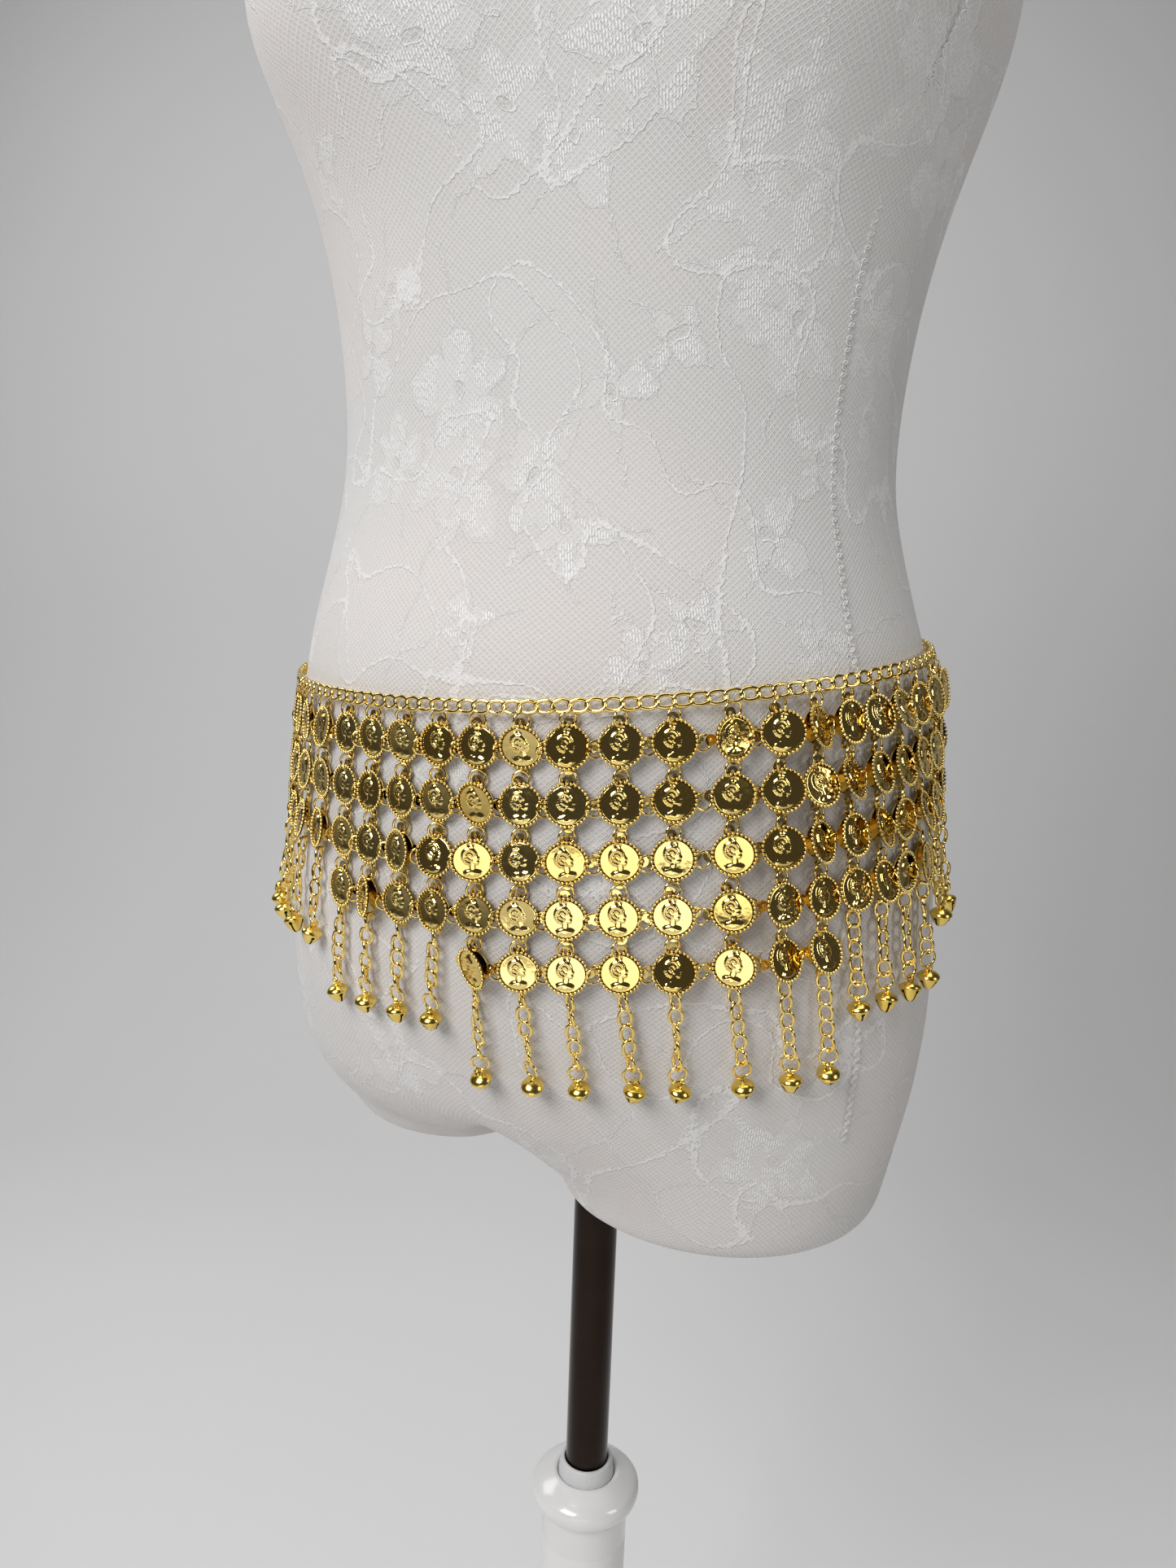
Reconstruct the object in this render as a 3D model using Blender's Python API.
"""A coin waist chain worn on a limbless dress form, on a turned stand.

Metres, +Z up. The form faces -Y, and the pole of its stand is the Z axis. Run with
blender --background --python part.py, or from the text editor.
"""
import math

import bpy
import numpy as np
from mathutils import Vector

for old in list(bpy.data.objects):
    bpy.data.objects.remove(old)

MM = 0.001
GAP = 0.3 * MM              # left between pieces that touch

# The form: one row a section, sizes in mm, heights measured from the waist chain
HEIGHT, HALF, FRONT, BACK, POWER = range(5)
BODY = np.array([
    (-205, 158.0, 93.0, 100.0, 2.00),    # top of the thighs
    (-190, 160.4, 98.0, 104.0, 2.00),
    (-160, 163.4, 108.0, 110.0, 1.95),
    (-130, 163.2, 116.0, 113.0, 1.90),   # widest part of the hips
    (-100, 161.0, 120.4, 114.0, 1.85),
    (-60, 157.2, 120.4, 110.0, 1.85),
    (-30, 154.4, 120.4, 106.0, 1.85),
    (0, 151.2, 120.4, 102.4, 1.85),      # the chain's own level
    (25, 142.7, 113.5, 94.5, 1.95),
    (50, 135.0, 105.5, 87.0, 2.05),
    (75, 128.5, 100.0, 82.0, 2.10),
    (100, 127.4, 97.0, 81.0, 2.10),      # waist
    (130, 129.5, 97.0, 83.0, 2.10),
    (160, 133.7, 98.0, 86.0, 2.10),
    (190, 140.5, 100.0, 90.0, 2.10),
    (220, 150.0, 104.0, 93.0, 2.10),
    (250, 160.0, 109.0, 96.0, 2.10),
    (280, 163.0, 112.0, 99.0, 2.10),
    (310, 162.0, 108.0, 100.0, 2.10),
    (350, 161.0, 98.0, 98.0, 2.20),
    (395, 158.0, 84.0, 92.0, 2.30),      # shoulders
    (425, 148.0, 76.0, 86.0, 2.30),
    (445, 126.0, 70.0, 80.0, 2.20),
    (462, 90.0, 64.0, 72.0, 2.10),
    (478, 62.0, 57.0, 62.0, 2.00),
    (500, 51.0, 52.0, 53.0, 2.00),
    (545, 50.0, 52.0, 50.0, 2.00),       # flat top of the neck
])
CHAIN_Z = 0.930             # height of the chain over the pole
BODY[:, :POWER] *= MM
BODY[:, HEIGHT] += CHAIN_Z
SIDE_SHIFT = -5 * MM        # the form sits a little off its pole
BUST_SWELL = 30 * MM
BUST_ANGLE = 0.62           # radians either side of the front
BUST_SPREAD = 0.42
BUST_Z = CHAIN_Z + 0.262
BUST_REACH = 46 * MM        # up and down
BODY_SIDES = 40

# The two thigh stubs under it; the form's right one is set back
CROTCH_X = -36 * MM
CROTCH_Z = CHAIN_Z - 0.226
CROTCH_RISE = 7 * MM        # the crotch line is higher at its front and back
STUB_TOP = BODY[0, HEIGHT]
LEFT_STUB = {"centre": (0.060, 0.005), "half": 0.085, "depth": 0.078}
RIGHT_STUB = {"centre": (-0.097, 0.038), "half": 0.062, "depth": 0.058}
# Each stub ring: distance below the chain, how far it has taken the stub's own shape, inset, all but
# the second in mm
LEFT_RINGS = ((230, 0.60, 0), (248, 1.0, 0), (260, 1.0, 3), (266, 1.0, 11))
RIGHT_RINGS = ((231, 0.45, 0), (245, 0.85, 0), (259, 1.0, 3), (265, 1.0, 11))

# How the belt hangs
BELT_OUT = 1.6 * MM         # middle of the coins, out from the form
TILT_SIDE = 0.078           # the chain climbs to the form's left
TILT_FRONT = 0.069          # and dips at the front
CHAIN_OUT = 2.6 * MM
CHAIN_STEP = 5.4 * MM       # one link
CHAIN_HALF = (2.9 * MM, 2.1 * MM)    # half height and half thickness where a link is widest
CHAIN_WAIST = 0.7           # of that between two links
CLASP_AT = 0.460            # along the chain from the form's front
CLASP_SIZE = (7.5 * MM, 3.4 * MM, 1.5 * MM)   # half length, height and thickness
TAIL_AT = CLASP_AT - 0.014
TAIL_LENGTH = 58 * MM

# The net of coins
COIN_R = 8.8 * MM
COIN_HALF = 1.2 * MM        # half the thickness of coin, plate and rings together
COIN_SIDES = 12
ROW_DROP = 15.7 * MM        # chain to the first row's centres
ROW_PITCH = 23.1 * MM
COLUMNS = 38
COLUMN_STEP = 18.2 * MM
# Steps, in mm, from a column to the next where the net is spread or bunched
UNEVEN_STEP = {9: 20.5, 10: 21.0, 17: 20.0, 18: 20.0, 19: 22.5, 20: 19.0,
               21: 16.0, 22: 14.8, 23: 14.8, 24: 14.8, 25: 14.8, 26: 16.0}
MIDDLE_COLUMN = 18
MIDDLE_AT = 43.1 * MM       # the belt has slipped round to the form's left
LINK_MIN = 0.9 * MM         # least gap bridged between two coins
# Name, first and last column, rows
PANELS = (("net_back_right", 0, 4, 3), ("net_side_right", 5, 10, 3), ("net_step_right", 11, 14, 4),
          ("net_front", 15, 22, 5),
          ("net_step_left", 23, 26, 4), ("net_side_left", 27, 32, 3), ("net_back_left", 33, 37, 3))
HANGER_HALF = 2.2 * MM      # half width of a ring seen from the front

# Tassels: last coin's centre to the bell's centre, by rows in the column
TASSEL = {5: 56.5 * MM, 4: 52.5 * MM, 3: 52.0 * MM}
TASSEL_HALF = 1.6 * MM
TASSEL_THICK = 1.1 * MM
BELL_R = 4.1 * MM
BELL_SIDES = 6
BELL_OUT = 4.6 * MM
BELL_RIM = 1.4 * MM         # half thickness at the bell's edge and at its middle
BELL_DEPTH = 3.8 * MM

# The stand
POLE_R = 11.55 * MM
POLE_BOTTOM = 0.215
SOCKET_DEPTH = 0.140
SLIDE_FIT = 0.45 * MM
BUSH_R = 15.5 * MM
COLLAR_TOP = 0.484
COLLAR_R = 30 * MM
COLLAR_HIGH = 46 * MM
POST_R = 23.5 * MM
BASE_TOP = 34 * MM
BASE_R = 0.210
ROUND_SIDES = 24


def body_size(z):
    """Half width, front depth, back depth and roundness of the form at height z, by a smooth curve."""
    rows = BODY[:, HEIGHT]
    z = min(max(z, rows[0]), rows[-1])
    i = min(int(np.searchsorted(rows, z, side="right")) - 1, len(rows) - 2)
    step = rows[i + 1] - rows[i]
    u = (z - rows[i]) / step
    low, high = BODY[i, HALF:], BODY[i + 1, HALF:]
    before = BODY[max(i - 1, 0)]
    after = BODY[min(i + 2, len(rows) - 1)]
    slope_low = (high - before[HALF:]) / (rows[i + 1] - before[HEIGHT]) * step
    slope_high = (after[HALF:] - low) / (after[HEIGHT] - rows[i]) * step
    return ((2 * u ** 3 - 3 * u ** 2 + 1) * low + (u ** 3 - 2 * u ** 2 + u) * slope_low
            + (3 * u ** 2 - 2 * u ** 3) * high + (u ** 3 - u ** 2) * slope_high)


def skin(angle, z, out=0.0):
    """A point of the form's surface: angle 0 is its front, and a quarter turn is its left side."""
    half, front, back, power = body_size(z)
    c, s = math.cos(angle), math.sin(angle)
    depth = front if c > 0 else back
    x = SIDE_SHIFT + (half + out) * math.copysign(abs(s) ** (2 / power), s)
    y = -(depth + out) * math.copysign(abs(c) ** (2 / power), c)
    turn = abs(math.atan2(s, c)) - BUST_ANGLE
    swell = BUST_SWELL * math.exp(-(turn / BUST_SPREAD) ** 2 - ((z - BUST_Z) / BUST_REACH) ** 2)
    return Vector((x + swell * s, y - swell * c, z))


ANGLES = np.linspace(-math.pi, math.pi, 1441)
LEVEL = [skin(a, CHAIN_Z, BELT_OUT) for a in ANGLES]
ARC = np.concatenate([[0], np.cumsum([(b - a).length for a, b in zip(LEVEL, LEVEL[1:])])])
ROUND = float(ARC[-1])
ARC -= ROUND / 2


def hang(s, down, out=BELT_OUT):
    """The point s along the chain from the form's front, down below it and out from the form."""
    angle = float(np.interp((s + ROUND / 2) % ROUND - ROUND / 2, ARC, ANGLES))
    level = skin(angle, CHAIN_Z, BELT_OUT)
    z = CHAIN_Z + TILT_SIDE * (level.x - SIDE_SHIFT) + TILT_FRONT * level.y - down
    return skin(angle, z, out)


def hang_frame(s, down, out=BELT_OUT):
    """That point with the directions along the belt, down and outward there."""
    along = (hang(s + MM, down, out) - hang(s - MM, down, out)).normalized()
    fall = (hang(s, down + MM, out) - hang(s, down - MM, out))
    outward = fall.cross(along).normalized()
    return hang(s, down, out), along, along.cross(outward), outward


def material(name, colour, roughness, metallic=0.0):
    made = bpy.data.materials.new(name)
    made.use_nodes = True
    shader = made.node_tree.nodes["Principled BSDF"]
    shader.inputs["Base Color"].default_value = (*colour, 1)
    shader.inputs["Roughness"].default_value = roughness
    shader.inputs["Metallic"].default_value = metallic
    return made


GOLD = material("gold_plate", (0.83, 0.60, 0.16), 0.15, 1.0)
COVER = material("lace_cover", (0.86, 0.83, 0.82), 0.85)
DARK_CHROME = material("dark_chrome", (0.10, 0.09, 0.09), 0.12, 1.0)
WHITE = material("white_gloss", (0.90, 0.90, 0.90), 0.20)
CLEAR = material("clear_bush", (0.82, 0.84, 0.85), 0.30)


def add_object(name, points, faces, surface, crease=35):
    mesh = bpy.data.meshes.new(name)
    mesh.from_pydata([tuple(p) for p in points], [], faces)
    mesh.shade_smooth()
    mesh.set_sharp_from_angle(angle=math.radians(crease))
    mesh.materials.append(surface)
    made = bpy.data.objects.new(name, mesh)
    bpy.context.scene.collection.objects.link(made)
    return made


class Sheet:
    """A thin closed solid grown from a pattern, with a front and a back point for each pattern point."""

    def __init__(self):
        self.front, self.back, self.faces = [], [], []

    def point(self, place, outward, half):
        self.front.append(place + outward * half)
        self.back.append(place - outward * half)
        return len(self.front) - 1

    def face(self, *corners):
        """Corners run anticlockwise as seen from outside."""
        self.faces.append(corners)

    def build(self, name, surface):
        count = len(self.front)
        edges = {(f[i - 1], f[i]) for f in self.faces for i in range(len(f))}
        faces = list(self.faces)
        faces += [tuple(i + count for i in reversed(f)) for f in self.faces]
        faces += [(b, a, a + count, b + count) for a, b in sorted(edges) if (b, a) not in edges]
        return add_object(name, self.front + self.back, faces, surface)


# The net
def column_places():
    step = [UNEVEN_STEP[i] * MM if i in UNEVEN_STEP else COLUMN_STEP for i in range(COLUMNS - 1)]
    place = np.concatenate([[0], np.cumsum(step)])
    place += MIDDLE_AT - place[MIDDLE_COLUMN]
    near = [min(a, b) for a, b in zip([COLUMN_STEP] + step, step + [COLUMN_STEP])]
    return place, [min(COIN_R, (n - LINK_MIN) / 2) for n in near]


COLUMN_AT, COIN_SEEN = column_places()
ROWS = {c: rows for _, first, last, rows in PANELS for c in range(first, last + 1)}


def coin_corners(column, row):
    """A coin's corners: 0 and 11 right, 2 and 3 below, 5 and 6 left, 8 and 9 above."""
    centre, along, fall, outward = hang_frame(COLUMN_AT[column], ROW_DROP + row * ROW_PITCH)
    turns = [math.tau * (k + 0.5) / COIN_SIDES for k in range(COIN_SIDES)]
    return [centre + along * math.cos(t) * COIN_SEEN[column] + fall * math.sin(t) * COIN_R
            for t in turns], outward


def half_link(sheet, own, column, row, other):
    """Half of the ring that joins this coin to one in the next panel."""
    theirs, their_outward = coin_corners(other, row)
    mine, outward = coin_corners(column, row)
    between = (outward + their_outward).normalized()
    below, above = (0, 11) if other > column else (5, 6)
    across = {0: 5, 11: 6, 5: 0, 6: 11}
    ends = []
    for k in (below, above):
        way = (theirs[across[k]] - mine[k])
        reach = way.length / 2 - GAP / 2
        ends.append(sheet.point(mine[k] + way.normalized() * reach, between, COIN_HALF))
    if other > column:
        sheet.face(own[below], ends[0], ends[1], own[above])
    else:
        sheet.face(ends[0], own[below], own[above], ends[1])


def tassel(sheet, own, column, rows):
    """Chain strand and bell under the last coin of a column."""
    s = COLUMN_AT[column]
    last = ROW_DROP + (rows - 1) * ROW_PITCH
    fall = TASSEL[rows]
    left, right = own[3], own[2]
    for part in (0.35, 0.85):
        out = BELT_OUT + (BELL_OUT - BELT_OUT) * part
        _, _, _, outward = hang_frame(s, last + fall * part, out)
        ends = [sheet.point(hang(s + side * TASSEL_HALF, last + fall * part, out), outward, TASSEL_THICK)
                for side in (-1, 1)]
        sheet.face(ends[0], ends[1], right, left)
        left, right = ends
    centre, along, down, outward = hang_frame(s, last + fall, BELL_OUT)
    rim = []
    for k in range(BELL_SIDES):
        turn = math.tau * k / BELL_SIDES
        corner = centre + (along * math.cos(turn) + down * math.sin(turn)) * BELL_R
        rim.append(sheet.point(corner, outward, BELL_RIM))
    middle = sheet.point(centre, outward, BELL_DEPTH)
    sheet.face(rim[4], rim[5], right, left)
    for k in range(BELL_SIDES):
        sheet.face(middle, rim[(k + 1) % BELL_SIDES], rim[k])


def net(name, first, last, rows):
    sheet = Sheet()
    coins = {}
    for column in range(first, last + 1):
        for row in range(rows):
            corners, outward = coin_corners(column, row)
            own = [sheet.point(p, outward, COIN_HALF) for p in corners]
            coins[column, row] = own
            sheet.face(*reversed(own))
            if row:
                above = coins[column, row - 1]
                sheet.face(own[8], own[9], above[2], above[3])
            if column > first:
                left = coins[column - 1, row]
                sheet.face(left[0], own[5], own[6], left[11])
            for other in (column - 1, column + 1):
                if other in ROWS and not first <= other <= last and row < ROWS[other]:
                    half_link(sheet, own, column, row, other)
        top = CHAIN_HALF[0] + GAP
        _, _, _, outward = hang_frame(COLUMN_AT[column], top)
        ends = [sheet.point(hang(COLUMN_AT[column] + side * HANGER_HALF, top), outward, COIN_HALF)
                for side in (-1, 1)]
        sheet.face(coins[column, 0][8], coins[column, 0][9], ends[1], ends[0])
        tassel(sheet, coins[column, rows - 1], column, rows)
    sheet.build(name, GOLD)


# The chain, its clasp and its tail
def strand(name, frames, sizes):
    """A four-sided strand; each frame is a place, the direction across it and the one outward."""
    points = []
    for (place, across, outward), (wide, thick) in zip(frames, sizes):
        points += [place + across * wide, place + outward * thick,
                   place - across * wide, place - outward * thick]
    faces = [(3, 2, 1, 0)]
    for i in range(len(frames) - 1):
        for k in range(4):
            a, b = 4 * i + k, 4 * i + (k + 1) % 4
            faces.append((a, b, b + 4, a + 4))
    end = len(points)
    faces.append((end - 4, end - 3, end - 2, end - 1))
    add_object(name, points, faces, GOLD)


def link_sizes(count):
    wide, thick = CHAIN_HALF
    narrow = (wide * CHAIN_WAIST, thick * CHAIN_WAIST)
    return [narrow if i % 2 == 0 else CHAIN_HALF for i in range(count)]


def waist_chain():
    start = CLASP_AT - ROUND + CLASP_SIZE[0] + GAP
    end = CLASP_AT - CLASP_SIZE[0] - GAP
    count = 2 * round((end - start) / CHAIN_STEP / 2) + 1
    frames = []
    for s in np.linspace(start, end, count):
        place, _, fall, outward = hang_frame(s, 0, CHAIN_OUT)
        frames.append((place, -fall, outward))
    strand("waist_chain", frames, link_sizes(count))


def clasp():
    sheet = Sheet()
    centre, along, fall, outward = hang_frame(CLASP_AT, 0, CHAIN_OUT)
    corners = []
    for k in range(COIN_SIDES):
        turn = math.tau * k / COIN_SIDES
        corner = centre + along * math.cos(turn) * CLASP_SIZE[0] + fall * math.sin(turn) * CLASP_SIZE[1]
        corners.append(sheet.point(corner, outward, CLASP_SIZE[2]))
    sheet.face(*reversed(corners))
    sheet.build("clasp", GOLD)


def chain_tail():
    count = 2 * round(TAIL_LENGTH / CHAIN_STEP / 2) + 1
    frames = []
    for down in np.linspace(CHAIN_HALF[0] + GAP, TAIL_LENGTH, count):
        place, along, _, outward = hang_frame(TAIL_AT, down, CHAIN_OUT)
        frames.append((place, along, outward))
    strand("chain_tail", frames, link_sizes(count))


# The form
def stub_ring(loop, shape, below, taken, inset):
    """A ring of a thigh stub, between the outline above it and the stub's own oval."""
    cx, cy = shape["centre"]
    ring = []
    for p in loop:
        turn = math.atan2((p.y - cy) / shape["depth"], (p.x - cx) / shape["half"])
        x = cx + (shape["half"] - inset) * math.cos(turn)
        y = cy + (shape["depth"] - inset) * math.sin(turn)
        ring.append(Vector((p.x + (x - p.x) * taken, p.y + (y - p.y) * taken, CHAIN_Z - below)))
    return ring


def torso():
    points, faces = [], []
    n = BODY_SIDES
    for z in BODY[::-1, HEIGHT]:
        points += [skin(math.tau * i / n, z) for i in range(n)]
    count = len(BODY)
    faces.append(tuple(range(n)))
    for r in range(count - 1):
        for i in range(n):
            a, b = r * n + i, r * n + (i + 1) % n
            faces.append((a, a + n, b + n, b))
    # The crotch line runs from the front to the back, through three points of its own
    base = (count - 1) * n
    front, back = n - 1, n // 2 + 1
    line = []
    for part, rise in ((0.2, 1), (0.5, 0), (0.8, 1)):
        y = points[base + front].y + (points[base + back].y - points[base + front].y) * part
        line.append(len(points))
        points.append(Vector((CROTCH_X, y, CROTCH_Z + CROTCH_RISE * rise)))
    left = [base + i % n for i in range(front, n + back + 1)] + line[::-1]
    right = [base + i for i in range(back, front + 1)] + line
    for loop, shape, rings in ((left, LEFT_STUB, LEFT_RINGS), (right, RIGHT_STUB, RIGHT_RINGS)):
        outline = [points[i] for i in loop]
        upper = loop
        for below, taken, inset in rings:
            ring = stub_ring(outline, shape, below * MM, taken, inset * MM)
            lower = list(range(len(points), len(points) + len(ring)))
            points += ring
            for k in range(len(ring)):
                a, b = upper[k - 1], upper[k]
                faces.append((a, lower[k - 1], lower[k], b))
            upper = lower
        faces.append(tuple(reversed(upper)))
    return add_object("torso", points, faces, COVER, 60)


def turned(name, profile, surface, crease=35):
    """A closed ring turned from a profile of (radius, height) points, anticlockwise in that plane."""
    points, faces = [], []
    size = len(profile)
    for k in range(ROUND_SIDES):
        turn = math.tau * k / ROUND_SIDES
        points += [Vector((r * math.cos(turn), r * math.sin(turn), z)) for r, z in profile]
        after = (k + 1) % ROUND_SIDES
        for i in range(size):
            j = (i + 1) % size
            faces.append((k * size + i, after * size + i, after * size + j, k * size + j))
    return add_object(name, points, faces, surface, crease)


def cylinder(name, radius, bottom, top, surface):
    ring = [(radius * math.cos(math.tau * k / ROUND_SIDES), radius * math.sin(math.tau * k / ROUND_SIDES))
            for k in range(ROUND_SIDES)]
    points = [Vector((x, y, z)) for z in (bottom, top) for x, y in ring]
    n = ROUND_SIDES
    faces = [tuple(reversed(range(n))), tuple(range(n, 2 * n))]
    faces += [(k, (k + 1) % n, n + (k + 1) % n, n + k) for k in range(n)]
    return add_object(name, points, faces, surface)


def stand():
    form_bottom = CHAIN_Z - LEFT_RINGS[-1][0] * MM
    socket_top = form_bottom + SOCKET_DEPTH
    body = torso()
    cutter = cylinder("socket_cutter", POLE_R + SLIDE_FIT, form_bottom - 0.02, socket_top, COVER)
    cutter.hide_render = True
    cutter.display_type = "WIRE"
    socket = body.modifiers.new("socket", "BOOLEAN")
    socket.object = cutter
    socket.solver = "EXACT"
    cylinder("pole", POLE_R, POLE_BOTTOM, socket_top - GAP, DARK_CHROME)

    bore = POLE_R + SLIDE_FIT
    collar_low = COLLAR_TOP - COLLAR_HIGH
    lip = COLLAR_TOP - 9 * MM
    turned("bush", [(bore, collar_low + 2 * MM), (BUSH_R, collar_low + 2 * MM), (BUSH_R, lip),
                    (BUSH_R + 2.5 * MM, COLLAR_TOP - 4 * MM), (bore, COLLAR_TOP - 3 * MM)], CLEAR)
    hole = BUSH_R + GAP
    turned("collar", [(hole, collar_low), (POST_R + 1 * MM, collar_low),
                      (POST_R + 2 * MM, collar_low + 8 * MM), (COLLAR_R - 1 * MM, collar_low + 14 * MM),
                      (COLLAR_R, collar_low + 28 * MM), (COLLAR_R - 1.5 * MM, COLLAR_TOP - 7 * MM),
                      (COLLAR_R - 7 * MM, COLLAR_TOP), (hole + 4 * MM, COLLAR_TOP),
                      (hole, lip)], WHITE)
    turned("post", [(hole, BASE_TOP + GAP), (POST_R, BASE_TOP + GAP), (POST_R, collar_low - GAP),
                    (hole, collar_low - GAP)], WHITE)
    turned("base", [(0.004, 0), (BASE_R - 0.003, 0), (BASE_R, 0.004), (BASE_R - 0.004, 0.010),
                    (BASE_R - 0.05, 0.016), (0.075, 0.021), (0.045, BASE_TOP), (0.004, BASE_TOP)], WHITE)


for panel in PANELS:
    net(*panel)
waist_chain()
clasp()
chain_tail()
stand()
